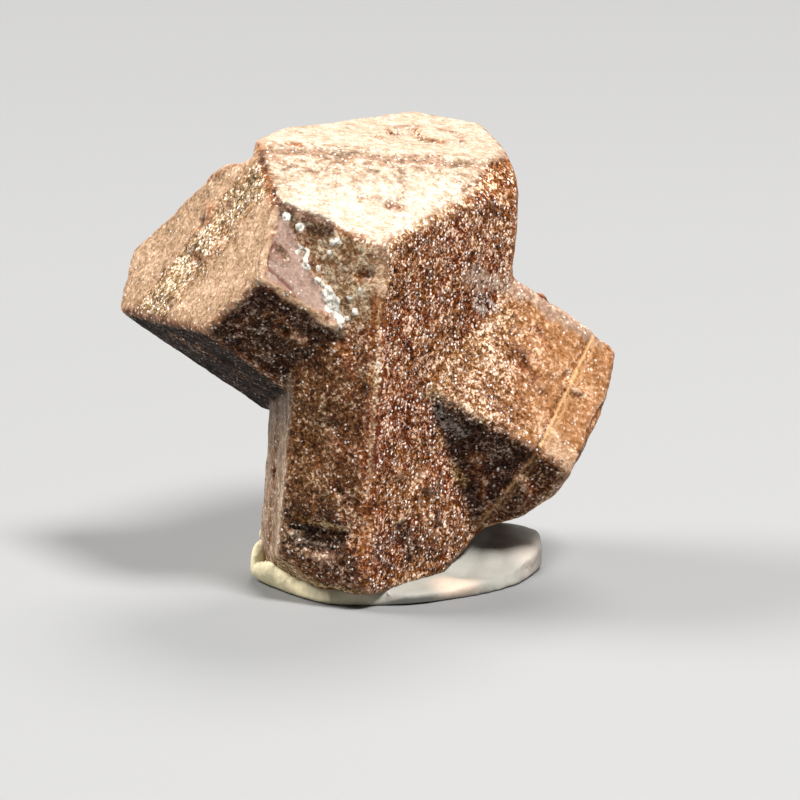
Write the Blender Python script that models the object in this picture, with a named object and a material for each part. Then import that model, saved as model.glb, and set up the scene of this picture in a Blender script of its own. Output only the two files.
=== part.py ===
"""A staurolite penetration twin, stood upright on a pad of mounting putty.

Two crystals grow through each other at about sixty degrees.  Each one is a six-sided prism,
listed below as faces around its own long axis.  The two are fused into one solid, as they
grew.  The putty pad is a second piece, pressed up around the foot of the upright crystal.

Metres, +Z up.  The origin is on the table, in the middle of the putty's flat base, and -Y is
the front.
"""
import math
from random import Random

import bmesh
import bpy
from mathutils import Matrix, Vector, noise

MM = 0.001

# ---- the mineral ---------------------------------------------------------------------------
CELL = (7.87, 16.62, 5.66)          # unit cell edges a, b and c, whose ratios set the angles
TWIN_PLANE = (2, 3, 1)              # the plane in which one crystal mirrors the other

# From the broad face at turn 0, a prism face is SIDE degrees round the long axis, and the
# next one is REAR degrees round.
SIDE = math.degrees(math.atan2(CELL[1], CELL[0]))
REAR = 180.0 - SIDE

# ---- how the specimen stands (degrees, millimetres) -----------------------------------------
CROSSING = (-0.38, -1.35, 9.66)     # where the two long axes meet, from the origin
LEAN_RIGHT = 4.1                    # the upright crystal's lean from plumb
UPRIGHT_TURN = -18.9                # its broad front face looks a little to the left

# ---- the crystals' faces --------------------------------------------------------------------
# name: (turn round the long axis, tip towards the end, distance from the crossing)
UPRIGHT_SIDES = {
    "front": (-3.2, 0.4, 5.15),
    "right": (SIDE + 3.8, 1.2, 3.05),
    "right_rear": (REAR, 0.3, 5.24),
    "right_bevel": (122.9, 0.0, 5.39),
    "rear_bevel": (144.8, 0.0, 7.62),
    "rear": (180.0, 0.0, 9.10),
    "left_rear": (-REAR, 0.0, 6.38),
    "left_bevel": (-93.2, 0.0, 6.25),
    "left": (-SIDE + 1.5, 0.4, 6.22),
}
# Below the crossing the upright crystal is narrower on its left.
LOWER_SIDES = {
    "left": (-SIDE + 1.5, 0.4, 4.56),
    "left_rear": (-REAR, 0.0, 4.96),
}
LEFT_ARM_SIDES = {
    "notch": (0.0, 0.0, 3.37),
    "under": (SIDE + 0.6, -0.8, 3.37),
    "belly": (112.6, 1.7, 3.77),
    "rear": (180.0, 0.0, 6.76),
    "rear_top": (-REAR, 0.0, 4.84),
    "top_bevel": (-94.0, 0.0, 4.56),
    "top": (-SIDE, 0.0, 4.36),
}
RIGHT_ARM_SIDES = {
    "top_front": (6.0, 3.9, 2.72),
    "under": (SIDE - 1.7, 1.1, 2.75),
    "belly": (REAR, 0.0, 4.36),
    "rear": (180.0, 0.0, 6.97),
    "rear_top": (-REAR, 0.0, 4.93),
    "top": (-SIDE, -0.6, 5.82),
}
LEFT_ARM_ROOT = -1.45               # where each arm's root lies, measured past the crossing
RIGHT_ARM_ROOT = 0.60
WAIST = (88.0, 0.0, 0.60)           # in the arms' frame: the upright is narrower under this

# ---- oblique faces that end the crystals ------------------------------------------------------
# (bearing from the front, positive to the right; rise above level; distance from the crossing)
BRIGHT_SLOPE = (20.5, 66.4, 7.52)   # the big sloping face on top, towards the front
SLOPE_CORNER = (52.5, 39.1, 7.00)
SUMMIT = (65.2, 83.1, 8.68)         # the nearly level face behind it
SUMMIT_CORNER = (79.4, 48.7, 9.04)
LEFT_ARM_END = (-61.5, 32.3, 8.91)  # also trims the upright crystal's top left
RIGHT_ARM_END = (88.8, -31.2, 9.27)
RIGHT_ARM_HEEL = (111.0, -44.7, 8.80)
RIGHT_ARM_SOLE = (133.8, -61.1, 8.20)
RIGHT_ARM_FLANK = (109.6, -24.6, 9.44)
RIGHT_ARM_CORNER = (104.8, 11.4, 9.96)
FOOT = (0.0, -90.0, 9.08)           # the broken underside, sunk in the putty
FOOT_FRONT = (-30.9, -50.8, 10.03)
FOOT_LEFT = (-58.0, -44.0, 9.52)
FOOT_FRONT_RIGHT = (45.7, -55.5, 9.11)
FOOT_RIGHT = (85.0, -43.8, 8.06)
FOOT_REAR = (170.0, -48.0, 10.60)

# On the right arm a growth line runs round the crystal, and past it the faces sit lower.
GROWTH_LINE = (27.2, -78.4, 7.07)   # in the arms' frame
GROWTH_STEP = 0.12

EDGE_WEAR = 0.16                    # half the width of the flat worn along a sharp edge
FRONT_EDGE_WEAR = 2.2               # times as much on the upright crystal's front edge
ARM_ROOT_WEAR = 0.6                 # and less on the right arm's main stretch
WEAR_SEEDS = {"upright": 11, "left_arm": 12, "right_arm": 13, "right_arm_tip": 14}
OVERLAP = 0.05                      # keeps faces of two pieces that are fused out of one plane

# ---- chips, pits, terraces and lumps ---------------------------------------------------------
WEATHER_SEED = 40
GRAIN_CUTS = 11                     # faces broken off a block to make an irregular grain
CHIPS_PER_CRYSTAL = 18
CHIP_SIZE = (0.9, 0.5, 0.36)        # along the edge, across it and deep
PITS_PER_CRYSTAL = 12
PIT_SIZE = (0.9, 0.6, 0.34)
TERRACES_PER_CRYSTAL = 7
TERRACE_SIZE = (2.9, 1.8, 1.0)
TERRACE_SPACING = 3.7
TERRACE_RISE = 0.10
RISE_STEP = 0.01                    # more on each crystal in turn, so that no two lie level
LUMPS_PER_CRYSTAL = 9
LUMP_SIZE = (0.62, 0.46, 0.36)
LUMP_SPACING = 1.3
DENT_SPACING = 1.6                  # between pits, and between chips
SPOT_TRIES = 60                     # draws for each spot before it is given up
SPOT_MARGIN = 0.45                  # how far a spot keeps out of what grows through
CORNER_SHARE = 0.05                 # the least share of a face's corner in a spot's place
LOWEST_LUMP = 2.8                   # nothing is raised where the putty grips the foot

# Places that are easy to tell, in millimetres from the crossing.
PLACES_SEED = 31
FOOT_HOLLOW = (-2.91, -4.62, -6.39)     # a shallow stepped hollow low on the front face
HOLLOW_SIZE = (2.9, 1.15, 0.62)
FOOT_LEDGE = (-2.66, -4.75, -7.23)
LEDGE_SIZE = (1.9, 0.45, 0.40)
ARM_NOTCH = (9.20, 0.70, -2.66)         # a bite out of the right arm's end
NOTCH_SIZE = (3.2, 0.62, 0.75)
VALLEY_LUMPS = ((-3.68, -3.82, 6.80), (-3.64, -3.87, 6.04), (-3.24, -4.07, 5.01),
                (-2.93, -4.22, 4.35), (-2.60, -4.37, 3.70), (-1.96, -4.70, 2.60))
SUMMIT_DISH = (2.2, 4.9, 10.62)         # centre of a rounded hollow in the summit
DISH_SIZE = (7.4, 5.6, 4.3)

# ---- the putty ------------------------------------------------------------------------------
PUTTY_REACH = 5.60                  # from the origin to the rim
PUTTY_RISE = 0.80
# (bearing, breadth in degrees, further reach, further rise)
PUTTY_LOBES = (
    (-88.0, 32.0, 0.62, 2.20),      # the left lobe stands highest
    (-25.0, 24.0, 0.45, 0.10),
    (45.0, 30.0, -0.35, -0.10),
    (103.0, 30.0, 0.85, 1.25),      # the right lobe
    (180.0, 46.0, 0.25, 0.75),
)
PUTTY_MIDDLE = 0.36                 # how high up its side the pad is widest, as a share
PUTTY_FULLNESS = 0.62               # below one, the rim is fuller than an ellipse's
PUTTY_GAP = 0.30                    # clearance kept round the crystals


def unit_axes():
    """The upright crystal's a, b and c axes, standing as the specimen does."""
    turn = Matrix.Rotation(math.radians(UPRIGHT_TURN), 3, "Z")
    stand = Matrix.Rotation(math.radians(LEAN_RIGHT), 3, "Y") @ turn
    return [stand @ Vector(axis) for axis in ((1, 0, 0), (0, 1, 0), (0, 0, 1))]


def twin_axes(axes):
    """The same three axes mirrored in the twin plane."""
    normal = sum((axis * (index / edge) for axis, index, edge in zip(axes, TWIN_PLANE, CELL)),
                 Vector())
    normal.normalize()
    return [axis - normal * (2.0 * axis.dot(normal)) for axis in axes]


UPRIGHT = unit_axes()
ARMS = twin_axes(UPRIGHT)


def prism_face(axes, face, grow=0.0):
    """A plane given by turn and tip in a crystal's own axes: its normal and a point on it."""
    turn, tip, distance = math.radians(face[0]), math.radians(face[1]), face[2]
    across = axes[0] * math.sin(turn) - axes[1] * math.cos(turn)
    normal = (across * math.cos(tip) + axes[2] * math.sin(tip)).normalized()
    return normal, (Vector(CROSSING) + normal * (distance + grow)) * MM


def oblique_face(face, grow=0.0):
    """A plane given by its bearing and rise: its normal and a point on it."""
    bearing, rise, distance = math.radians(face[0]), math.radians(face[1]), face[2]
    normal = Vector((math.cos(rise) * math.sin(bearing),
                     -math.cos(rise) * math.cos(bearing),
                     math.sin(rise)))
    return normal, (Vector(CROSSING) + normal * (distance + grow)) * MM


def reverse(plane):
    return -plane[0], plane[1]


# ---- convex blocks ----------------------------------------------------------------------------

def trim(mesh, planes, merge=0.002 * MM):
    """Cut a closed convex block down to the inside of every plane."""
    for normal, point in planes:
        parts = mesh.verts[:] + mesh.edges[:] + mesh.faces[:]
        cut = bmesh.ops.bisect_plane(mesh, geom=parts, dist=1e-7, plane_co=point,
                                     plane_no=normal, clear_outer=True)
        rim = [part for part in cut["geom_cut"] if isinstance(part, bmesh.types.BMEdge)]
        if rim:
            bmesh.ops.edgeloop_fill(mesh, edges=rim)
    bmesh.ops.remove_doubles(mesh, verts=mesh.verts, dist=merge)
    bmesh.ops.recalc_face_normals(mesh, faces=mesh.faces)
    return mesh


def cut_block(planes, size=60.0):
    mesh = bmesh.new()
    bmesh.ops.create_cube(mesh, size=size * MM)
    bmesh.ops.translate(mesh, verts=mesh.verts, vec=Vector(CROSSING) * MM)
    return trim(mesh, planes)


def wear_edges(mesh, width, chance, wider=()):
    """Take a narrow flat off every edge of a convex block, uneven from edge to edge.

    The edge between the two faces whose directions are in wider loses more.
    """
    flats = []
    for edge in mesh.edges:
        first, second = (face.normal for face in edge.link_faces)
        normal = (first + second).normalized()
        width_here = width * chance.uniform(0.6, 1.4)
        if sum(max(first.dot(way), second.dot(way)) > 0.999 for way in wider) > 1:
            width_here = width * FRONT_EDGE_WEAR
        depth = width_here * MM * math.sqrt(max(0.0, (1.0 - first.dot(second)) / 2.0))
        middle = (edge.verts[0].co + edge.verts[1].co) / 2.0
        flats.append((normal, middle - normal * depth))
    return trim(mesh, flats)


def worn_block(name, planes, width=EDGE_WEAR, wider=()):
    return wear_edges(cut_block(planes), width, Random(WEAR_SEEDS[name]), wider)


def grain(spot, size, chance, limits=()):
    """An irregular many-faced grain: long, wide and thick, lying on a spot of a surface."""
    point, normal, along = spot
    mesh = bmesh.new()
    bmesh.ops.create_cube(mesh, size=2.0)
    cuts = []
    for _ in range(GRAIN_CUTS):
        way = Vector([chance.gauss(0.0, 1.0) for _ in range(3)]).normalized()
        cuts.append((way, way * chance.uniform(0.70, 1.0)))
    trim(mesh, cuts, merge=0.03)
    along = (along - normal * along.dot(normal)).normalized()
    sides = (along, normal.cross(along), normal)
    frame = Matrix([side * (extent * MM / 2.0) for side, extent in zip(sides, size)])
    place = Matrix.Translation(point) @ frame.transposed().to_4x4()
    bmesh.ops.transform(mesh, matrix=place, verts=mesh.verts)
    return trim(mesh, limits)


# ---- Blender objects ----------------------------------------------------------------------------

def material(name, colour, roughness):
    surface = bpy.data.materials.new(name)
    surface.use_nodes = True
    shader = surface.node_tree.nodes["Principled BSDF"]
    shader.inputs["Base Color"].default_value = (*colour, 1.0)
    shader.inputs["Roughness"].default_value = roughness
    shader.inputs["Metallic"].default_value = 0.0
    return surface


def add_object(name, meshes, surface=None):
    """One object from one mesh, or from several that stay clear of each other."""
    whole = bmesh.new()
    for mesh in meshes:
        data = bpy.data.meshes.new(name)
        mesh.to_mesh(data)
        mesh.free()
        whole.from_mesh(data)
        bpy.data.meshes.remove(data)
    data = bpy.data.meshes.new(name)
    whole.to_mesh(data)
    whole.free()
    made = bpy.data.objects.new(name, data)
    bpy.context.collection.objects.link(made)
    if surface:
        data.materials.append(surface)
    return made


def boolean(target, name, meshes, operation):
    """Fuse blocks into a target or cut them away, and keep the tool out of sight."""
    tool = add_object(name, meshes)
    tool.hide_render = True
    tool.display_type = "WIRE"
    step = target.modifiers.new(f"{operation.lower()} {name}", "BOOLEAN")
    step.operation = operation
    step.object = tool
    step.solver = "EXACT"


# ---- the crystals -------------------------------------------------------------------------------

def upright_planes(grow=0.0, lower=False):
    sides = UPRIGHT_SIDES | LOWER_SIDES if lower else UPRIGHT_SIDES
    planes = [prism_face(UPRIGHT, face, grow) for face in sides.values()]
    ends = (BRIGHT_SLOPE, SLOPE_CORNER, SUMMIT, SUMMIT_CORNER,
            FOOT, FOOT_FRONT, FOOT_LEFT, FOOT_FRONT_RIGHT, FOOT_RIGHT, FOOT_REAR)
    planes += [oblique_face(face, grow) for face in ends]
    return planes + [oblique_face(LEFT_ARM_END, grow - OVERLAP)]


def lower_planes(grow=0.0):
    """The narrower stretch of the upright crystal, under the crossing."""
    return upright_planes(grow, lower=True) + [reverse(prism_face(ARMS, WAIST))]


def waist_cut(face, grow):
    """What is missing from the upright crystal outside one of its lower faces."""
    return cut_block([reverse(prism_face(UPRIGHT, face)), reverse(prism_face(ARMS, WAIST, grow))])


def left_arm_planes(grow=0.0):
    planes = [prism_face(ARMS, face, grow) for face in LEFT_ARM_SIDES.values()]
    planes += [oblique_face(LEFT_ARM_END, grow), oblique_face(BRIGHT_SLOPE, grow - OVERLAP)]
    return planes + [prism_face(ARMS, (0.0, -90.0, LEFT_ARM_ROOT))]


def right_arm_planes(grow=0.0):
    planes = [prism_face(ARMS, face, grow) for face in RIGHT_ARM_SIDES.values()]
    ends = (RIGHT_ARM_END, RIGHT_ARM_HEEL, RIGHT_ARM_SOLE, RIGHT_ARM_FLANK, RIGHT_ARM_CORNER)
    planes += [oblique_face(face, grow) for face in ends]
    return planes + [prism_face(ARMS, (0.0, 90.0, RIGHT_ARM_ROOT))]


def right_arm_tip_planes(grow=0.0):
    return right_arm_planes(grow - GROWTH_STEP)


def fuse_crystals(twin):
    boolean(twin, "lower_left", [waist_cut(LOWER_SIDES["left"], 0.0)], "DIFFERENCE")
    boolean(twin, "lower_left_rear", [waist_cut(LOWER_SIDES["left_rear"], OVERLAP)],
            "DIFFERENCE")
    left_arm = worn_block("left_arm", left_arm_planes())
    boolean(twin, "left_arm", [left_arm], "UNION")
    main = worn_block("right_arm", right_arm_planes() + [prism_face(ARMS, GROWTH_LINE)],
                      ARM_ROOT_WEAR * EDGE_WEAR)
    boolean(twin, "right_arm", [main], "UNION")
    tip = worn_block("right_arm_tip", right_arm_tip_planes())
    boolean(twin, "right_arm_tip", [tip], "UNION")


# ---- places on the crystals -----------------------------------------------------------------------

def is_inside(point, planes, margin):
    return all((point - on_plane).dot(normal) < margin * MM for normal, on_plane in planes)


def edge_spot(mesh, chance):
    """A random place on a block's edges: the point, the way out and the way along."""
    edges = list(mesh.edges)
    edge = chance.choices(edges, [one.calc_length() for one in edges])[0]
    start, end = (vert.co for vert in edge.verts)
    outward = sum((face.normal for face in edge.link_faces), Vector()).normalized()
    return start.lerp(end, chance.uniform(0.06, 0.94)), outward, (end - start).normalized()


def face_spot(mesh, chance, long_axis):
    """A random place on a block's faces, with the crystal's long axis as the way along."""
    faces = list(mesh.faces)
    face = chance.choices(faces, [one.calc_area() for one in faces])[0]
    shares = [chance.random() + CORNER_SHARE for _ in face.verts]
    point = sum((vert.co * share for vert, share in zip(face.verts, shares)), Vector())
    return point / sum(shares), face.normal.copy(), long_axis


def scattered(planes, neighbours, count, spacing, lowest, pick):
    """Seeded spots on a crystal, apart from each other and clear of what grows through it."""
    mesh = cut_block(planes)
    spots = []
    for _ in range(SPOT_TRIES * count):
        point, outward, along = pick(mesh)
        hidden = any(is_inside(point, other, SPOT_MARGIN) for other in neighbours)
        crowded = any((point - spot[0]).length < spacing * MM for spot in spots)
        if not hidden and not crowded and point.z > lowest * MM:
            spots.append((point, outward, along))
        if len(spots) == count:
            break
    mesh.free()
    return spots


def vary(size, chance):
    return [extent * chance.uniform(0.7, 1.35) for extent in size]


def weather(twin):
    """Chip the edges, pit the faces and raise low terraces and lumps on every crystal."""
    crystals = (("upright", upright_planes, UPRIGHT, (left_arm_planes, right_arm_planes,
                                                      lower_planes)),
                ("left_arm", left_arm_planes, ARMS, (upright_planes,)),
                ("right_arm", right_arm_planes, ARMS, (upright_planes,)),
                ("lower", lower_planes, UPRIGHT, (left_arm_planes, right_arm_planes)))
    for number, (name, shape, axes, neighbours) in enumerate(crystals):
        chance = Random(WEATHER_SEED + number)
        others = [neighbour() for neighbour in neighbours]
        long_axis = axes[2]

        def on_face(mesh):
            return face_spot(mesh, chance, long_axis)

        def on_edge(mesh):
            return edge_spot(mesh, chance)

        spots = scattered(shape(), others, TERRACES_PER_CRYSTAL, TERRACE_SPACING,
                          LOWEST_LUMP, on_face)
        rise = TERRACE_RISE + RISE_STEP * number
        terraces = [grain(spot, vary(TERRACE_SIZE, chance), chance, shape(rise))
                    for spot in spots]
        boolean(twin, f"{name}_terraces", terraces, "UNION")
        spots = scattered(shape(), others, LUMPS_PER_CRYSTAL, LUMP_SPACING, LOWEST_LUMP,
                          on_face)
        lumps = [grain(spot, vary(LUMP_SIZE, chance), chance) for spot in spots]
        boolean(twin, f"{name}_lumps", lumps, "UNION")
        spots = scattered(shape(), others, PITS_PER_CRYSTAL, DENT_SPACING, 0.0, on_face)
        pits = [grain(spot, vary(PIT_SIZE, chance), chance) for spot in spots]
        boolean(twin, f"{name}_pits", pits, "DIFFERENCE")
        spots = scattered(shape(), others, CHIPS_PER_CRYSTAL, DENT_SPACING, 0.0, on_edge)
        chips = [grain(spot, vary(CHIP_SIZE, chance), chance) for spot in spots]
        boolean(twin, f"{name}_chips", chips, "DIFFERENCE")


def at(offset):
    return (Vector(CROSSING) + Vector(offset)) * MM


def shape_known_places(twin):
    """The hollow and ledge at the foot, the bite in the right arm, the crusted valley."""
    chance = Random(PLACES_SEED)
    front = prism_face(UPRIGHT, UPRIGHT_SIDES["front"])[0]
    level = front.cross(UPRIGHT[2])
    hollow = grain((at(FOOT_HOLLOW), front, level), HOLLOW_SIZE, chance)
    ledge = grain((at(FOOT_LEDGE), front, level), LEDGE_SIZE, chance)
    arm_end = oblique_face(RIGHT_ARM_END)[0]
    notch = grain((at(ARM_NOTCH), arm_end, ARMS[0]), NOTCH_SIZE, chance)
    boolean(twin, "hollows", [hollow, ledge, notch], "DIFFERENCE")
    lumps = [grain((at(place), front, UPRIGHT[2]), vary(LUMP_SIZE, chance), chance)
             for place in VALLEY_LUMPS]
    boolean(twin, "valley_lumps", lumps, "UNION")


def hollow_summit(twin):
    dish = bmesh.new()
    bmesh.ops.create_icosphere(dish, subdivisions=3, radius=0.5 * MM)
    for vert in dish.verts:
        ripple = 1.0 + 0.05 * noise.noise(vert.co / MM * 5.0)
        vert.co = Vector([part * extent * ripple for part, extent in zip(vert.co, DISH_SIZE)])
    bmesh.ops.translate(dish, verts=dish.verts, vec=at(SUMMIT_DISH))
    boolean(twin, "summit_dish", [dish], "DIFFERENCE")


def build_twin():
    stone = material("staurolite", (0.20, 0.085, 0.035), 0.5)
    wider = [prism_face(UPRIGHT, UPRIGHT_SIDES[name])[0] for name in ("front", "right")]
    upright = worn_block("upright", upright_planes(), wider=wider)
    twin = add_object("staurolite_twin", [upright], stone)
    fuse_crystals(twin)
    hollow_summit(twin)
    weather(twin)
    shape_known_places(twin)


# ---- the putty ------------------------------------------------------------------------------------

def putty_rim(bearing):
    """How far the pad reaches and how high it stands, looking out along a bearing."""
    reach, rise = PUTTY_REACH, PUTTY_RISE
    for centre, breadth, more_reach, more_rise in PUTTY_LOBES:
        away = (bearing - centre + 180.0) % 360.0 - 180.0
        share = math.exp(-(away / breadth) ** 2)
        reach += more_reach * share
        rise += more_rise * share
    return reach, rise


def full(value):
    return math.copysign(abs(value) ** PUTTY_FULLNESS, value)


def putty_pad():
    """A flattened lump with a full rim, cut flat underneath."""
    pad = bmesh.new()
    bmesh.ops.create_icosphere(pad, subdivisions=4, radius=1.0)
    for vert in pad.verts:
        way = vert.co.copy()
        spread = math.hypot(way.x, way.y)
        reach, rise = putty_rim(math.degrees(math.atan2(way.x, -way.y)))
        lump = 1.0 + 0.07 * noise.noise(way * 2.1 + Vector((3.1, 0.4, 7.7)))
        if spread > 0.0:
            out = full(spread) * reach * lump * MM / spread
            vert.co.x, vert.co.y = way.x * out, way.y * out
        part = (1.0 - PUTTY_MIDDLE) if way.z > 0.0 else 1.0
        vert.co.z = rise * lump * (PUTTY_MIDDLE + part * full(way.z)) * MM
    return trim(pad, [(Vector((0, 0, -1)), Vector((0, 0, 0)))])


def build_putty():
    putty = add_object("mounting_putty", [putty_pad()],
                       material("putty", (0.80, 0.74, 0.62), 0.6))
    boolean(putty, "foot_socket", [cut_block(upright_planes(PUTTY_GAP, lower=True))],
            "DIFFERENCE")
    boolean(putty, "arm_clearance", [cut_block(right_arm_planes(PUTTY_GAP))], "DIFFERENCE")


def main():
    for old in list(bpy.data.objects):
        bpy.data.objects.remove(old, do_unlink=True)
    build_twin()
    build_putty()


main()
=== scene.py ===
"""The looks of a staurolite twin on its pad of mounting putty.

The crystals are remeshed finely from the solid and given grain, worn edges, growth lines and
their own skin on each face.  The putty is pressed up against them.  Both finishes are
procedural.  Lengths are in millimetres until a mesh is finished, and then in metres.
"""

import math

import bmesh
import bpy
import numpy as np
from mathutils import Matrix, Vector, noise
from mathutils.bvhtree import BVHTree


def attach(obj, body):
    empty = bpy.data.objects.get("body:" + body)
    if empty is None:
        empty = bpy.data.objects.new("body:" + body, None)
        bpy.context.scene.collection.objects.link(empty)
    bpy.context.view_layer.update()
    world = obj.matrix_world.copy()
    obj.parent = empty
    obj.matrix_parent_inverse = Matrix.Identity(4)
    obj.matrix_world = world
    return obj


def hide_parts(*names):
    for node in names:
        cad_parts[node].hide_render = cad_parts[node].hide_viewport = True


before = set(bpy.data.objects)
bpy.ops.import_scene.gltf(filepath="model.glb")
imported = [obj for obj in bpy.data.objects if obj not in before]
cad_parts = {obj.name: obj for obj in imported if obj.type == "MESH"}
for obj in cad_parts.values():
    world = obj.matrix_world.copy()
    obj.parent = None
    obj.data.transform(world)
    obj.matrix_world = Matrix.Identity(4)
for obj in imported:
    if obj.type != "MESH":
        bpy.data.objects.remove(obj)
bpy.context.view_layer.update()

MM = 0.001

# ---- the crystals' surface -------------------------------------------------------------------

CROSSING = (-0.38, -1.35, 9.66)     # where the two crystals' long axes meet

STONE_VOXEL = 0.130
EDGE_ROUNDS = 9             # smoothing rounds that find the ridges
EDGE_SOFTENING = 0.55       # how far the ridges give way to the smoothed surface

RELIEF = ((0.30, 0.022), (0.62, 0.022), (1.5, 0.040), (4.5, 0.050))     # (size, height)

GROWTH_LINE_FACING = (0.840, 0.052, -0.540)
GROWTH_LINE_PLACE = 7.17
GROWTH_LINE_HEIGHT = 0.04
GROWTH_LINE_FADE = (0.03, 0.11)     # it fades out between these distances from its middle
GROWTH_LINE_START = 2.0     # it is only on the right arm, this far across
GROWTH_LINE_REACH = 0.15    # the surface is twice as fine out to here on either side of it
TWIN_LINE_GAP = 0.26        # a fainter line runs beside the growth line
TWIN_LINE_FADE = (0.02, 0.08)
TWIN_LINE_SHARE = 0.40

NOTCH_DEPTH = 0.12
NOTCH_ROUNDS = 7            # smoothing rounds that keep its recess off its rim
CRUST_HEIGHT = 0.10
CRUST_BUMP = 0.17
CRUST_BREAK = 0.30          # the size of the gaps in the crust
RIM_HEIGHT = 0.05
LEDGE_PITCH = 0.42          # the foot's hollow steps back in small ledges
LEDGE_DEPTH = 0.08
HOLLOW_DEPTH = 0.02
FOOT_TOP = -5.5             # the broken foot is below this, from the crossing

# The faces with a skin of their own, by the direction they face and the side of the crossing
# that they are on: the left arm's are -1, the right arm's 1 and the upright's 0.
FACES = {
    "summit": ((0.109, -0.050, 0.993), 0),
    "slope": ((0.140, -0.375, 0.916), 0),
    "slope_corner": ((0.616, -0.472, 0.631), 0),
    "front": ((-0.375, -0.927, 0.034), 0),
    "right": ((0.760, -0.648, -0.034), 0),
    "left": ((-0.987, -0.138, 0.078), 0),
    "sole": ((-0.325, -0.542, -0.775), 0),
    "sole_left": ((-0.610, -0.381, -0.695), 0),
    "sole_right": ((0.405, -0.396, -0.824), 0),
    "left_end": ((-0.743, -0.403, 0.534), -1),
    "left_notch": ((0.551, -0.697, 0.459), -1),
    "left_under": ((-0.019, -0.901, -0.434), -1),
    "left_belly": ((-0.499, -0.361, -0.787), -1),
    "right_front": ((0.463, -0.779, 0.423), 1),
    "right_under": ((-0.020, -0.922, -0.387), 1),
}
FACE_FEATHER = 4            # smoothing rounds at a face's rim

# Marks that follow a line across the crystals: offsets from the crossing, and their half width.
MARKS = {
    "valley_crust": (((-3.76, -3.90, 5.87), (-3.43, -3.97, 5.55), (-3.43, -4.15, 5.03),
                      (-3.18, -4.22, 4.62), (-2.84, -4.34, 4.30), (-2.42, -4.50, 3.95),
                      (-2.30, -4.50, 3.48), (-1.92, -4.80, 2.62)), 0.13),
    "valley_clot": (((-2.50, -4.50, 3.98), (-2.25, -4.52, 3.45)), 0.27),
    # painted shade beneath the slope's edge
    "valley_shade": (((-4.35, -3.50, 7.33), (-3.47, -3.90, 6.95), (-2.60, -4.25, 6.60)), 0.42),
    "arm_crust": (((2.06, -2.40, -1.51), (2.40, -2.06, -2.32), (3.13, -1.94, -2.66)), 0.30),
    "joint_crust": (((3.81, -0.38, 2.73), (4.41, 0.25, 2.07)), 0.36),
    "ochre_spot": (((2.84, -1.16, -4.50), (3.23, -0.92, -5.08)), 0.26),
    "foot_hollow": (((-3.75, -4.10, -6.30), (-2.10, -4.87, -6.22)), 0.34),
    "foot_hollow_low": (((-3.80, -4.20, -6.85), (-2.10, -4.95, -6.75)), 0.34),
    "foot_smudge": (((0.50, -3.78, -6.47), (0.92, -3.24, -7.39)), 0.60),
    # foot_glow, edge_glow and arm_glow are painted highlights
    "foot_glow": (((-1.60, -5.12, -5.50), (-1.10, -5.26, -6.85)), 0.55),
    "edge_line": (((-0.25, -5.05, 5.35), (-0.38, -5.09, 2.46), (-0.55, -5.13, -0.53),
                   (-0.71, -5.17, -2.67), (-0.84, -5.20, -4.60)), 0.11),
    "edge_glow": (((-0.10, -5.00, 6.30), (-0.25, -5.05, 4.40)), 0.50),
    "edge_seam": (((-0.12, -5.00, 0.40), (-0.36, -5.08, -1.82), (-0.50, -5.10, -3.54)), 0.10),
    "left_edge": (((-4.12, -3.84, -0.83), (-4.44, -3.60, -3.17), (-4.52, -3.65, -5.20),
                   (-4.53, -3.74, -7.57)), 0.14),
    "notch_rim": (((-4.64, -3.61, 7.31), (-5.00, -4.27, 6.42), (-5.32, -5.70, 4.86),
                   (-4.29, -5.40, 3.98), (-3.25, -5.18, 3.33), (-1.96, -4.77, 2.26)), 0.20),
    "notch_seam": (((-4.67, -4.54, 6.05), (-4.95, -5.11, 5.53), (-4.87, -5.29, 5.14),
                    (-4.45, -5.23, 4.75), (-3.90, -5.15, 4.20)), 0.07),
    "left_end_band": (((-9.85, -0.50, 2.40), (-8.59, -0.72, 4.18), (-7.52, -0.95, 5.57),
                       (-6.46, -1.05, 6.95), (-5.56, -1.26, 7.99)), 1.15),
    "slope_band": (((-5.16, 0.10, 9.02), (-3.73, 0.45, 8.95), (-1.40, 0.60, 8.75),
                    (0.71, 0.95, 8.50), (2.58, 1.25, 8.32), (3.77, 1.34, 8.18)), 0.26),
    "slope_ridge": (((-5.34, 0.62, 9.26), (-3.74, 1.04, 9.10), (-1.41, 1.25, 8.93),
                     (0.71, 1.60, 8.73), (2.58, 1.77, 8.52), (3.77, 1.77, 8.35)), 0.16),
    "slope_seam": (((-5.40, 0.20, 9.00), (-5.10, -1.60, 8.40), (-4.75, -2.80, 7.85),
                    (-4.45, -3.45, 7.42)), 0.13),
    "slope_rim": (((-4.10, -3.60, 7.32), (-3.10, -4.10, 6.95), (-2.00, -4.55, 6.65),
                   (-1.00, -4.85, 6.40)), 0.16),
    "arm_top": (((3.46, -0.85, 3.91), (5.92, 1.48, 2.67), (8.86, 2.22, 0.54)), 0.42),
    "arm_low_edge": (((1.75, -2.60, -0.75), (4.00, -1.85, -2.00), (6.30, -1.05, -3.35)), 0.32),
    "arm_heel": (((7.85, -1.00, -4.40), (7.32, -0.69, -5.40), (6.69, -0.32, -6.11)), 0.42),
    "arm_glow": (((6.95, -1.05, -3.10), (7.50, -0.90, -4.20)), 0.55),
}

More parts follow.
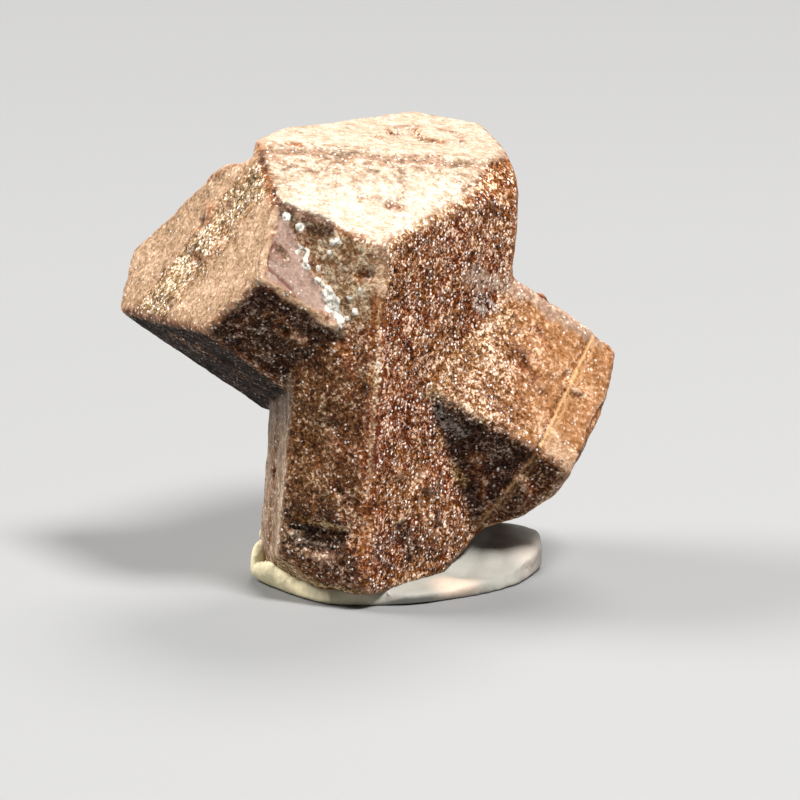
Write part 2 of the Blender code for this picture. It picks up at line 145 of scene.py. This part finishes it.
# Single lumps of white crust in the valley beside the left arm: offsets and radii.
CRUST_LUMPS = (
    ((-4.22, -3.60, 6.97), 0.17), ((-3.67, -3.92, 6.61), 0.16), ((-2.10, -4.50, 6.12), 0.13),
    ((-2.32, -4.42, 6.04), 0.13), ((-1.59, -4.78, 3.76), 0.10), ((-1.17, -4.94, 4.13), 0.09),
    ((-1.38, -4.88, 3.18), 0.12), ((-2.92, -4.20, 4.91), 0.10), ((-1.71, -4.76, 2.90), 0.10),
    ((-2.42, -4.37, 5.63), 0.09), ((-3.76, -4.05, 5.58), 0.14),
)
FINE_MARKS = ("valley_crust", "valley_clot", "notch_rim", "notch_seam", "edge_line",
              "edge_seam", "slope_ridge", "foot_hollow", "foot_hollow_low")
FINE_REACH = 1.4            # out to this many half widths, a mark's surface is twice as fine

# ---- the putty's surface ---------------------------------------------------------------------

PUTTY_VOXEL = 0.10
PRESS_NEAR = 0.34           # putty nearer than this to the stone is drawn right up against it
PRESS_FAR = 0.56            # and putty beyond this stays where it is
PRESS_DEPTH = 0.10          # how far it sinks into the stone's surface
PUTTY_SWELL = 0.24          # the most that its lobes swell outwards
PUTTY_ROUNDS = 12           # smoothing rounds that round its rim
FOLD_ROUNDS = 5             # and the rounds that ease its folds once it is pressed up
SMEAR_BEARING = -60.0       # where a lobe is smeared up the crystal, from the front
SMEAR_BREADTH = 14.0
SMEAR_RISE = 1.15           # how much taller it is there, as a share
SMEAR_BULGE = 0.24


# ---- the finishes ----------------------------------------------------------------------------

GRAIN = 0.150               # the sizes of the stone's grains, crumbs and patches
CRUMB = 0.34
PATCH = 1.1
SPARKLE = 0.15              # its painted white glints are this far apart
FACET = 0.13                # and its tiny facets are this wide
FACET_TILT = 0.45
GRAIN_DEPTH = 0.08

# Each skin's colours in its dark, middle and bright grains.
RED_SKIN = (0.100, 0.018, 0.002), (0.215, 0.055, 0.009), (0.660, 0.430, 0.300)
TAN_SKIN = (0.110, 0.030, 0.004), (0.245, 0.081, 0.013), (0.660, 0.460, 0.310)
OCHRE_SKIN = (0.160, 0.070, 0.020), (0.380, 0.210, 0.080), (0.750, 0.580, 0.360)
SKINS = (                   # laid on in this order, each with how far it covers the last
    ("amber", 1.0, (0.235, 0.100, 0.032), (0.370, 0.178, 0.076), (0.550, 0.320, 0.180)),
    # cream is painted light on the slope and summit
    ("cream", 1.0, (0.300, 0.215, 0.140), (0.400, 0.330, 0.250), (0.480, 0.460, 0.400)),
    ("peach", 1.0, (0.270, 0.165, 0.092), (0.385, 0.250, 0.158), (0.580, 0.420, 0.290)),
    ("gold", 1.0, (0.130, 0.075, 0.028), (0.310, 0.190, 0.085), (0.660, 0.520, 0.370)),
    ("violet", 1.0, (0.250, 0.155, 0.122), (0.310, 0.210, 0.168), (0.400, 0.300, 0.245)),
    ("olive", 0.7, (0.105, 0.060, 0.026), (0.225, 0.145, 0.074), (0.500, 0.430, 0.300)),
    # dark is laid on as painted shade on the under faces and in hollows, and as darker tone
    # elsewhere
    ("dark", 1.0, (0.008, 0.004, 0.003), (0.026, 0.013, 0.009), (0.130, 0.095, 0.075)),
)


def noise_at(point, size, seed=0.0):
    """Smooth noise from -1 to 1 at a point; the size is how far apart its lumps are."""
    return noise.noise(point / size + Vector((seed, 1.7 * seed, -seed)))


def noise_over(places, size, seed=0.0):
    """The same noise at each of an array of points."""
    return np.array([noise_at(Vector(place), size, seed) for place in places])


def smooth_step(low, high, value):
    """A smooth change from 0 at low to 1 at high, whichever of them is larger."""
    share = np.clip((value - low) / (high - low), 0.0, 1.0)
    return share * share * (3.0 - 2.0 * share)


# ---- remeshing -------------------------------------------------------------------------------

def fine_copy(node, voxel):
    """An evenly fine mesh of a CAD node, in millimetres."""
    mesh = bmesh.new()
    mesh.from_mesh(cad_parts[node].data)
    bmesh.ops.remove_doubles(mesh, verts=mesh.verts, dist=0.0005 * MM)
    bmesh.ops.scale(mesh, verts=mesh.verts, vec=(1.0 / MM,) * 3)
    data = bpy.data.meshes.new("coarse")
    mesh.to_mesh(data)
    mesh.free()
    rough = bpy.data.objects.new("coarse", data)
    bpy.context.scene.collection.objects.link(rough)
    step = rough.modifiers.new("voxels", "REMESH")
    step.mode = "VOXEL"
    step.voxel_size = voxel
    graph = bpy.context.evaluated_depsgraph_get()
    fine = bpy.data.meshes.new_from_object(rough.evaluated_get(graph))
    bpy.data.objects.remove(rough)
    bpy.data.meshes.remove(data)
    mesh = bmesh.new()
    mesh.from_mesh(fine)
    mesh.verts.ensure_lookup_table()
    bpy.data.meshes.remove(fine)
    return mesh


def add_piece(name, mesh, material, node):
    """Finish a mesh in metres as a piece that stands for a CAD node."""
    bmesh.ops.scale(mesh, verts=mesh.verts, vec=(MM,) * 3)
    data = bpy.data.meshes.new(name)
    mesh.to_mesh(data)
    mesh.free()
    data.shade_smooth()
    data.materials.append(material)
    piece = bpy.data.objects.new(name, data)
    bpy.context.scene.collection.objects.link(piece)
    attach(piece, "root")
    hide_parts(node)
    return piece


def gap_to(path, offsets):
    """How far each offset is from a line through some points."""
    path = np.array(path, dtype=float).reshape(-1, 3)
    away = np.linalg.norm(offsets - path[0], axis=1)
    for first, last in zip(path, path[1:]):
        run = last - first
        share = np.clip((offsets - first) @ run / (run @ run), 0.0, 1.0)
        gap = offsets - first - share[:, None] * run
        away = np.minimum(away, np.linalg.norm(gap, axis=1))
    return away


def refine(mesh, lines):
    """Halve the edges along the growth line and near lines of a path and half width each."""
    offsets = np.array([vert.co[:] for vert in mesh.verts]) - np.array(CROSSING)
    away = np.abs(offsets @ np.array(GROWTH_LINE_FACING) - GROWTH_LINE_PLACE)
    close = (away < GROWTH_LINE_REACH) & (offsets[:, 0] > GROWTH_LINE_START)
    for path, width in lines:
        close |= gap_to(path, offsets) < FINE_REACH * width
    edges = [edge for edge in mesh.edges if all(close[vert.index] for vert in edge.verts)]
    bmesh.ops.subdivide_edges(mesh, edges=edges, cuts=1, use_grid_fill=True)
    mesh.verts.index_update()
    mesh.normal_update()


def ease(mesh, rounds):
    """Smooth a whole mesh."""
    for _ in range(rounds):
        bmesh.ops.smooth_vert(mesh, verts=mesh.verts, factor=0.5, use_axis_x=True,
                              use_axis_y=True, use_axis_z=True)
    mesh.normal_update()


class Surface:
    """A mesh's points as arrays, so that whole skins can be worked out at once."""

    def __init__(self, mesh, node):
        self.mesh = mesh
        self.places = np.array([vert.co[:] for vert in mesh.verts])
        self.normals = np.array([vert.normal[:] for vert in mesh.verts])
        self.ends = np.array([[vert.index for vert in edge.verts] for edge in mesh.edges])
        self.links = np.bincount(self.ends.ravel(), minlength=len(self.places))
        self.offsets = self.places - np.array(CROSSING)
        solid = surface_of(node)
        self.facing = np.array([solid.find_nearest(vert.co)[1][:] for vert in mesh.verts])

    def smoothed(self, values, rounds):
        """Values averaged with their neighbours' a number of times."""
        links = self.links.reshape((-1,) + (1,) * (values.ndim - 1))
        for _ in range(rounds):
            total = np.zeros_like(values)
            np.add.at(total, self.ends[:, 0], values[self.ends[:, 1]])
            np.add.at(total, self.ends[:, 1], values[self.ends[:, 0]])
            values = 0.5 * values + 0.5 * total / links
        return values

    def near(self, path, width, rag):
        """How much of a mark there is at each point, with a ragged rim."""
        return 1.0 - smooth_step(0.55, 1.35, gap_to(path, self.offsets) / width + rag)

    def face(self, name):
        """How surely each point is on a face."""
        direction, side = FACES[name]
        direction = np.array(direction) / np.linalg.norm(direction)
        on = smooth_step(0.93, 0.97, self.facing @ direction)
        if side:
            on = on * (self.offsets[:, 0] * side > 0.0)
        return self.smoothed(on, FACE_FEATHER)


def surface_of(node):
    """The CAD node's surface in millimetres, for finding the nearest point on it."""
    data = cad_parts[node].data
    points = [vert.co / MM for vert in data.vertices]
    return BVHTree.FromPolygons(points, [face.vertices for face in data.polygons])


# ---- the crystals ----------------------------------------------------------------------------

def most(*amounts):
    """The largest of some amounts at each point."""
    return np.maximum.reduce(amounts)


def within(amount):
    """An amount held between 0 and 1."""
    return np.clip(amount, 0.0, 1.0)


def stone_marks(stone, worn, rag):
    """How much there is of each mark at each point."""
    mark = {name: stone.near(*line, rag) for name, line in MARKS.items()}
    away = stone.offsets @ np.array(GROWTH_LINE_FACING) - GROWTH_LINE_PLACE + 0.05 * rag
    growth = 1.0 - smooth_step(*GROWTH_LINE_FADE, np.abs(away))
    twin = 1.0 - smooth_step(*TWIN_LINE_FADE, np.abs(away - TWIN_LINE_GAP))
    growth += TWIN_LINE_SHARE * twin
    mark["growth"] = growth * (stone.offsets[:, 0] > GROWTH_LINE_START)
    mark["past_growth"] = smooth_step(0.0, 0.3, away)
    lumps = most(*(stone.near(*lump, 0.4 * rag) for lump in CRUST_LUMPS))
    unbroken = smooth_step(-0.45, 0.00, noise_over(worn, CRUST_BREAK, 5.0))
    mark["crust"] = most(mark["valley_crust"] * unbroken, mark["valley_clot"], lumps)
    mark["dust"] = most(0.45 * mark["arm_crust"], mark["joint_crust"])
    mark["hollow"] = most(mark["foot_hollow"], mark["foot_hollow_low"])
    mark["brown"] = most(mark["slope_band"], mark["slope_rim"], mark["slope_seam"])
    return mark


def stone_relief(stone, worn, rag, face, mark):
    """How far each point stands out from the worn surface."""
    lift = sum(height * noise_over(worn, size, 5.0 * size) for size, height in RELIEF)
    lift *= 1.0 - 0.4 * face["slope"]
    lift += GROWTH_LINE_HEIGHT * mark["growth"]
    bumps = within(0.6 + 0.9 * noise_over(worn, CRUST_BUMP, 11.0))
    lift += CRUST_HEIGHT * bumps * (mark["crust"] + 0.4 * mark["dust"])
    lift += RIM_HEIGHT * (mark["notch_rim"] + 0.5 * mark["slope_ridge"])
    inner_notch = smooth_step(0.80, 0.98, stone.smoothed(face["left_notch"], NOTCH_ROUNDS))
    lift -= NOTCH_DEPTH * inner_notch + RIM_HEIGHT * mark["notch_seam"]
    lift -= RIM_HEIGHT * most(mark["edge_seam"], mark["slope_band"], mark["slope_seam"])
    ledge = np.abs(np.mod(stone.offsets[:, 2] / LEDGE_PITCH + 0.25 * rag, 1.0) - 0.5) * 2.0
    steps = smooth_step(0.35, 0.65, ledge)
    return lift - mark["hollow"] * (HOLLOW_DEPTH + LEDGE_DEPTH * steps)


def stone_skins(stone, worn, bend, face, mark):
    """How much there is of each skin at each point, from its faces and its marks."""
    across, _, up = stone.offsets.T
    high_front = face["front"] * smooth_step(1.6, 3.4, up)
    mid_front = face["front"] * smooth_step(2.6, 0.6, up) * smooth_step(-6.4, -4.6, up)
    low_front = face["front"] * smooth_step(-3.6, -5.4, up) * (1.0 - mark["foot_glow"])
    low_slope = face["slope"] * smooth_step(8.35, 7.4, up)
    arm_tip = face["right_front"] * smooth_step(4.2, 7.0, across)
    arm_base = face["right_front"] - arm_tip
    sole = most(face["sole"], face["sole_left"], face["sole_right"]) * (up < FOOT_TOP)
    left_end = face["left_end"] * (1.0 - mark["notch_rim"])
    left_plain = left_end * (1.0 - mark["left_end_band"])
    high_or_right = most(smooth_step(7.5, 8.5, up), smooth_step(0.8, 3.2, across))
    grains = smooth_step(-0.05, 0.30, noise_over(worn, 0.34, 17.0))
    browned = most(mark["brown"], face["slope"] * grains * high_or_right)
    # the faces without a skin of their own are patchy
    far = 1.0 - within(sum(face.values()))
    broad, blotch = noise_over(worn, 2.8, 21.0), noise_over(worn, 1.2, 33.0)
    # dark is painted shade on the under faces, in the foot's hollow and beneath the slope's
    # edge; elsewhere it is darker tone, low on the front, on seams and in patches
    dark = most(0.80 * face["left_under"], face["left_belly"],
                face["right_under"] * (0.84 - 0.32 * mark["past_growth"]),
                0.85 * mark["hollow"], 0.60 * mark["foot_smudge"],
                0.75 * mark["valley_shade"], 0.20 * mid_front, 0.60 * low_front,
                0.8 * mark["slope_seam"], 0.25 * far * smooth_step(0.10, 0.45, -blotch))
    return {
        "ridge": bend,
        # pale lifts the grain on some faces; along the edge, ridge and glow marks it is painted
        # highlight
        "pale": (0.50 * face["slope_corner"] + 0.45 * face["right_front"]
                 + 0.2 * face["left"] + 0.85 * high_front + 0.55 * low_slope + 0.5 * sole
                 + 0.6 * (mark["edge_line"] + mark["arm_low_edge"] + mark["slope_ridge"])
                 + 0.5 * (mark["foot_glow"] + mark["arm_glow"] + mark["edge_glow"])
                 + 0.5 * mark["left_edge"] - 0.4 * browned + 0.5 * far * blotch),
        "dark": dark * (1.0 - mark["arm_heel"]) * (1.0 - 0.8 * mark["arm_low_edge"]),
        "calm": within(face["left_notch"] + face["summit"] + 0.7 * face["left"]
                       + 0.5 * face["slope"] + 0.25 * face["right_front"]
                       + 0.45 * arm_tip + 0.85 * high_front + 0.30 * mid_front
                       + 0.70 * left_end * (1.0 - 0.8 * mark["left_end_band"])
                       + 0.5 * mark["notch_rim"] + far * (0.35 + 0.6 * broad)),
        # glint: how dense the painted glints and curls are
        "glint": within(0.45 + 0.50 * face["right"] + 0.35 * arm_base - 0.25 * arm_tip
                        + 0.5 * left_end * mark["left_end_band"] - 0.45 * left_plain
                        - 0.30 * mid_front - 0.45 * high_front - 0.35 * face["left_notch"]
                        - 0.3 * face["left_belly"] + 0.5 * mark["arm_low_edge"]
                        - far * (0.20 + 0.8 * broad)),
        "frost": mark["crust"],
        "dust": mark["dust"],
        "ochre": most(mark["ochre_spot"], 0.5 * mark["growth"] * face["right_under"], sole),
        "line": mark["growth"] * (face["right_front"] + 0.45 * face["right_under"]),
        "seam": most(mark["edge_seam"], mark["notch_seam"]),
        "violet": most(face["left_notch"] * (1.0 - mark["notch_rim"]),
                       0.5 * mark["arm_top"]),
        "olive": most(face["left_belly"], high_front, 0.5 * face["left"], 0.5 * mid_front,
                      0.4 * low_front, 0.4 * far * smooth_step(0.05, 0.35, -broad)),
        "gold": most(face["left_end"] * mark["left_end_band"],
                     0.6 * mark["arm_low_edge"], 0.35 * arm_base),
        # peach at the glow marks and along the front edge is painted highlight
        "peach": most(left_plain, mark["notch_rim"], 0.6 * mark["arm_heel"],
                      0.6 * mark["arm_top"], 0.6 * mark["edge_glow"],
                      0.5 * mark["arm_glow"], 0.4 * mark["edge_line"]),
        # cream: a pale skin on the slope, the summit and less on the left side; on the slope
        # and summit it is painted light
        "cream": (most(face["slope"], face["summit"], 0.45 * face["left"])
                  * (1.0 - 0.55 * browned)),
        "amber": most(0.8 * arm_tip, 0.4 * far * smooth_step(0.0, 0.35, broad)),
    }


def build_stone():
    """The two grown-together crystals, with every skin kept as an attribute."""
    mesh = fine_copy("staurolite_twin", STONE_VOXEL)
    refine(mesh, [MARKS[name] for name in FINE_MARKS] + list(CRUST_LUMPS))
    stone = Surface(mesh, "staurolite_twin")
    soft = stone.smoothed(stone.places, EDGE_ROUNDS)
    bend = ((stone.places - soft) * stone.normals).sum(axis=1)
    worn = stone.places + EDGE_SOFTENING * (soft - stone.places)
    rag = (0.55 * noise_over(stone.places, 0.55, 7.0)
           + 0.35 * noise_over(stone.places, 0.22, 3.0))
    face = {name: stone.face(name) for name in FACES}
    mark = stone_marks(stone, worn, rag)
    lift = stone_relief(stone, worn, rag, face, mark)
    for name, amounts in stone_skins(stone, worn, bend, face, mark).items():
        layer = mesh.verts.layers.float.new(name)
        for vert, amount in zip(mesh.verts, amounts):
            vert[layer] = amount
    for vert, place in zip(mesh.verts, worn + stone.normals * lift[:, None]):
        vert.co = place
    return add_piece("twinned_crystals", mesh, stone_material(),
                     "staurolite_twin")


# ---- the putty -------------------------------------------------------------------------------

def build_putty():
    """The pad, with one lobe smeared up the foot and its inner rim pressed to the stone."""
    mesh = fine_copy("mounting_putty", PUTTY_VOXEL)
    stone = surface_of("staurolite_twin")
    ease(mesh, PUTTY_ROUNDS)
    for vert in mesh.verts:
        bearing = math.degrees(math.atan2(vert.co.x, -vert.co.y))
        smear = math.exp(-((bearing - SMEAR_BEARING) / SMEAR_BREADTH) ** 2)
        out = Vector((vert.co.x, vert.co.y, 0.0)).normalized()
        vert.co += out * (SMEAR_BULGE * smear * smooth_step(0.0, 0.4, vert.co.z))
        vert.co.z *= 1.0 + SMEAR_RISE * smear
        height = vert.co.z
        nearest, _, _, away = stone.find_nearest(vert.co)
        towards = (nearest - vert.co).normalized()
        pull = 1.0 - smooth_step(PRESS_NEAR, PRESS_FAR, away)
        pull *= smooth_step(0.0, 0.5, vert.normal @ towards)
        lump = PUTTY_SWELL * noise_at(vert.co, 1.6, 9.0) + 0.10 * noise_at(vert.co, 0.8, 6.0)
        vert.co += vert.normal * (lump * smooth_step(0.02, 0.5, height) * (1.0 - pull))
        vert.co += towards * ((away + PRESS_DEPTH) * pull * smooth_step(0.05, 0.25, height))
    ease(mesh, FOLD_ROUNDS)
    return add_piece("putty_pad", mesh, putty_material(), "mounting_putty")


# ---- shader nodes ----------------------------------------------------------------------------

class Wire:
    """A value in a material.  Arithmetic on it adds Math nodes to the material."""

    def __init__(self, tree, socket):
        self.tree = tree
        self.socket = socket

    def node(self, kind, inputs=None, output=0, **settings):
        """Add a node: its settings first, then the values or links of its sockets."""
        made = self.tree.nodes.new("ShaderNode" + kind)
        for place, colour in settings.pop("stops", ()):
            made.color_ramp.elements.new(place).color = colour
        for name, value in settings.items():
            setattr(made, name, value)
        for name, value in (inputs or {}).items():
            if isinstance(value, Wire):
                self.tree.links.new(value.socket, made.inputs[name])
            else:
                made.inputs[name].default_value = value
        return Wire(self.tree, made.outputs[output])

    def maths(self, operation, *values):
        return self.node("Math", dict(enumerate(values)), operation=operation)

    def __add__(self, other):
        return self.maths("ADD", self, other)

    def __radd__(self, other):
        return self.maths("ADD", other, self)

    def __sub__(self, other):
        return self.maths("SUBTRACT", self, other)

    def __rsub__(self, other):
        return self.maths("SUBTRACT", other, self)

    def __mul__(self, other):
        return self.maths("MULTIPLY", self, other)

    def __rmul__(self, other):
        return self.maths("MULTIPLY", other, self)

    def __abs__(self):
        return self.maths("ABSOLUTE", self)

    def step(self, low, high):
        """A smooth change from 0 where this is low to 1 where it is high."""
        return self.node("MapRange", {"Value": self, "From Min": low, "From Max": high},
                         interpolation_type="SMOOTHSTEP")

    def ramp(self, *stops):
        """A colour read from stops of a place from 0 to 1 and a colour, dark to light."""
        return self.node("ValToRGB", {"Fac": self}, stops=stops)

    def mix(self, first, second):
        """A colour that goes from first to second as this value goes from 0 to 1."""
        # the node's colours are its inputs 6 and 7 and its output 2
        return self.node("Mix", {"Factor": self, 6: first, 7: second}, output=2,
                         data_type="RGBA")


def rgb(red, green, blue):
    """A solid colour."""
    return (red, green, blue, 1.0)


def new_material(name, **constants):
    """A Principled material, its shader and a wire that starts its other nodes."""
    material = bpy.data.materials.new(name)
    material.use_nodes = True
    tree = material.node_tree
    shader = tree.nodes["Principled BSDF"]
    for socket, value in constants.items():
        shader.inputs[socket.replace("_", " ")].default_value = value
    start = Wire(tree, None)
    place = start.node("TexCoord", output="Object")
    millimetres = start.node("VectorMath", {0: place, "Scale": 1.0 / MM}, operation="SCALE")
    return material, shader, millimetres


def plug(shader, wire, name):
    """Let a wire drive one of the shader's sockets."""
    wire.tree.links.new(wire.socket, shader.inputs[name])


def skin(level, dark, middle, bright):
    """A skin's colour at each level of its grain, from its dark grains to its bright ones."""
    deep = rgb(*(0.35 * part for part in dark))
    # the bright and glare stops are partly pale grains and partly painted glints
    glare = rgb(*(min(0.95, 1.4 * part) for part in bright))
    return level.ramp((0.24, deep), (0.40, rgb(*dark)), (0.57, rgb(*middle)),
                      (0.73, rgb(*bright)), (0.87, glare))


def clouds(place, size, detail=2.0, distortion=0.0):
    """Soft noise from 0 to 1 in lumps of a size."""
    return place.node("TexNoise", {"Vector": place, "Scale": 1.0 / size, "Detail": detail,
                                   "Distortion": distortion}, output="Fac")


def stone_material():
    """Grainy brown crystal with painted white glints, whose attributes bring in the other
    skins.
    """
    material, shader, place = new_material("brown staurolite", IOR=1.74,
                                           Specular_IOR_Level=0.05)

    def layer(name):
        return place.node("Attribute", output="Fac", attribute_name=name)

    warp = place.node("TexNoise", {"Vector": place, "Scale": 6.0}, output="Color")
    bent = place.node("VectorMath", {0: warp, 1: (0.12, 0.12, 0.12), 2: place},
                      operation="MULTIPLY_ADD")

    def crystals(size, output):
        return place.node("TexVoronoi", {"Vector": bent, "Scale": 1.0 / size}, output=output)

    fine = clouds(place, GRAIN, 1.5, 0.8)
    crumb = clouds(place, CRUMB, 2.0, 0.4)
    patch = clouds(place, PATCH, 3.0)
    hue = clouds(place, 0.8, 2.0) * 0.5 + clouds(place, 3.2, 1.0) * 0.5
    dark, frost, glint, calm = layer("dark"), layer("frost"), layer("glint"), layer("calm")
    ridge = layer("ridge").step(0.012, 0.07)
    # hollow picks out concave creases, which the grain level below paints darker as painted
    # shade
    hollow = layer("ridge").step(-0.02, -0.10)

    level = 0.46 + (fine - 0.5) * (1.40 - calm * 0.95) + (crumb - 0.5) * 0.40
    level = level + (patch - 0.5) * (0.60 - calm * 0.30) + calm * 0.04
    level = level + layer("pale") * 0.14 + ridge * 0.05 - hollow * 0.08
    body = hue.step(0.42, 0.58).mix(skin(level, *RED_SKIN), skin(level, *TAN_SKIN))
    # the skins laid on in turn: dark is partly painted shade, and cream is painted light on the
    # slope and summit
    for name, share, *colours in SKINS:
        body = (layer(name) * share).mix(body, skin(level, *colours))

    # thin bright curls painted into the base colour: painted glints on grain rims
    glint_curl = abs(clouds(place, 0.26, 1.0, 1.2) - 0.5).step(0.030, 0.010) * crumb.step(0.42, 0.52)
    # pale pinkish rims on the ridges, here and in the grain level above: partly edge wear,
    # partly painted highlight
    body = (ridge * (0.45 - dark * 0.25)).mix(body, rgb(0.56, 0.36, 0.25))
    body = (glint_curl * glint * (0.48 - dark * 0.25)).mix(body, rgb(0.84, 0.70, 0.60))
    # white specks painted into the base colour: painted glints, denser where the glint
    # attribute is high
    spot = crystals(SPARKLE, "Distance").step(0.44, 0.22)
    pick = place.node("SeparateColor", {"Color": crystals(SPARKLE, "Color")}, output="Red")
    white = spot * (pick + glint * 0.30).step(0.90, 1.00) * (0.95 - dark * 0.45 - calm * 0.45)
    body = white.mix(body, rgb(0.92, 0.84, 0.78))
    body = (layer("seam") * 0.65).mix(body, rgb(0.110, 0.020, 0.010))
    body = layer("line").mix(body, rgb(0.760, 0.430, 0.205))
    dusty = (layer("dust") * 0.85) * (crumb * 0.4 + fine * 0.6).step(0.43, 0.56)
    body = dusty.mix(body, rgb(0.420, 0.390, 0.350))
    body = (frost.step(0.15, 0.55) * (fine.step(0.25, 0.50) * 0.5 + 0.45)).mix(
        body, rgb(0.70, 0.69, 0.62))
    body = (layer("ochre") * 0.8).mix(body, skin(level, *OCHRE_SKIN))
    plug(shader, body, "Base Color")

    rough = 0.26 + fine * 0.30 + pick * 0.20 + dark * 0.30
    plug(shader, rough, "Roughness")

    tilt = place.node("VectorMath", {0: crystals(FACET, "Color"), 1: (0.5, 0.5, 0.5)},
                      operation="SUBTRACT")
    tilt = place.node("VectorMath", {0: tilt, "Scale": FACET_TILT}, operation="SCALE")
    facing = place.node("NewGeometry", output="Normal")
    facing = place.node("VectorMath", {0: facing, 1: tilt}, operation="ADD")
    facing = place.node("VectorMath", {0: facing}, operation="NORMALIZE")
    bump = place.node("Bump", {"Height": fine + crumb * 0.8, "Strength": 0.5,
                               "Distance": GRAIN_DEPTH * MM, "Normal": facing})
    plug(shader, bump, "Normal")
    return material


def putty_material():
    """Matt putty, cream on the left and greyer on the right as painted shade, with two painted
    peach highlights.
    """
    material, shader, place = new_material("mounting putty", IOR=1.5, Specular_IOR_Level=0.3)

    slow, fine = clouds(place, 2.6, 3.0), clouds(place, 0.22, 3.0)
    across = place.node("SeparateXYZ", {"Vector": place}, output="X")

    def near(x, y, size):
        away = place.node("VectorMath", {0: place, 1: (x, y, 1.0)}, output="Value",
                          operation="DISTANCE")
        return (away + slow * 1.2).step(size + 1.4, size * 0.4 + 0.4)

    # the right side painted grey: painted shade on the right lobe
    colour = (across + slow * 3.0).step(-3.4, 1.6).mix(rgb(0.86, 0.76, 0.49),
                                                       rgb(0.29, 0.28, 0.25))
    colour = (slow.step(0.5, 0.7) * 0.35).mix(colour, rgb(0.30, 0.31, 0.27))
    # two peach patches: painted highlights on the right lobe
    colour = (near(2.6, -4.4, 1.0) * 0.8).mix(colour, rgb(0.70, 0.53, 0.41))
    colour = (near(6.2, -0.8, 1.0) * 0.8).mix(colour, rgb(0.64, 0.55, 0.48))
    colour = (fine.step(0.55, 0.78) * 0.30).mix(colour, rgb(0.30, 0.23, 0.17))
    plug(shader, colour, "Base Color")
    plug(shader, 0.45 + fine * 0.3, "Roughness")
    bump = place.node("Bump", {"Height": fine, "Strength": 0.5, "Distance": GRAIN_DEPTH * MM})
    plug(shader, bump, "Normal")
    return material


# ---- the studio ------------------------------------------------------------------------------

CAMERA_AIM = Vector((0.12, -7.21, 9.30)) * MM
CAMERA_DISTANCE = 0.2794
CAMERA_RISE = 13.0          # degrees above the table
CAMERA_LENS = 301.5
LIGHTS = (                  # name, bearing, rise, distance, size, watts and colour
    ("high window", 40.0, 62.0, 0.60, 0.18, 7.6, (1.0, 0.985, 0.96)),
    ("back window", 165.0, 52.0, 0.50, 0.26, 2.0, (1.0, 0.97, 0.93)),
    ("left window", -105.0, 42.0, 0.50, 0.20, 3.4, (1.0, 0.98, 0.95)),
)
FLOOR_COLOUR = (0.215, 0.218, 0.222)
AIR_COLOUR = (0.75, 0.80, 0.86)
AIR_STRENGTH = 0.09


def from_bearing(bearing, rise, distance):
    """A point seen from the specimen at a bearing from the front and a rise above level."""
    bearing, rise = math.radians(bearing), math.radians(rise)
    return Vector((math.sin(bearing) * math.cos(rise), -math.cos(bearing) * math.cos(rise),
                   math.sin(rise))) * distance


def look_at(thing, target):
    """Turn a lamp or camera to face a point."""
    thing.rotation_euler = (target - thing.location).to_track_quat("-Z", "Y").to_euler()


def add_camera():
    """A long lens that looks slightly down on the front."""
    lens = bpy.data.cameras.new("camera")
    lens.lens = CAMERA_LENS
    lens.clip_start = 0.01
    camera = bpy.data.objects.new("camera", lens)
    camera.location = CAMERA_AIM + from_bearing(0.0, CAMERA_RISE, CAMERA_DISTANCE)
    look_at(camera, CAMERA_AIM)
    bpy.context.scene.collection.objects.link(camera)
    bpy.context.scene.camera = camera


def add_light(name, bearing, rise, distance, size, watts, colour):
    """A round soft light that faces the specimen."""
    lamp = bpy.data.lights.new(name, "AREA")
    lamp.shape = "DISK"
    lamp.size = size
    lamp.energy = watts
    lamp.color = colour
    light = bpy.data.objects.new(name, lamp)
    light.location = CAMERA_AIM + from_bearing(bearing, rise, distance)
    look_at(light, CAMERA_AIM)
    bpy.context.scene.collection.objects.link(light)


def add_floor():
    """A wide plain floor."""
    mesh = bmesh.new()
    bmesh.ops.create_circle(mesh, cap_ends=True, segments=64, radius=2.0)
    data = bpy.data.meshes.new("floor")
    mesh.to_mesh(data)
    mesh.free()
    material, shader, _ = new_material("plain floor", Roughness=0.6)
    shader.inputs["Base Color"].default_value = rgb(*FLOOR_COLOUR)
    data.materials.append(material)
    floor = bpy.data.objects.new("floor", data)
    bpy.context.scene.collection.objects.link(floor)


def light_studio():
    """Dim cool air all round and three soft windows."""
    world = bpy.data.worlds.new("studio")
    world.use_nodes = True
    air = world.node_tree.nodes["Background"]
    air.inputs["Color"].default_value = rgb(*AIR_COLOUR)
    air.inputs["Strength"].default_value = AIR_STRENGTH
    bpy.context.scene.world = world
    for light in LIGHTS:
        add_light(*light)
    bpy.context.scene.view_settings.view_transform = "Standard"


add_camera()
light_studio()
add_floor()
build_stone()
build_putty()
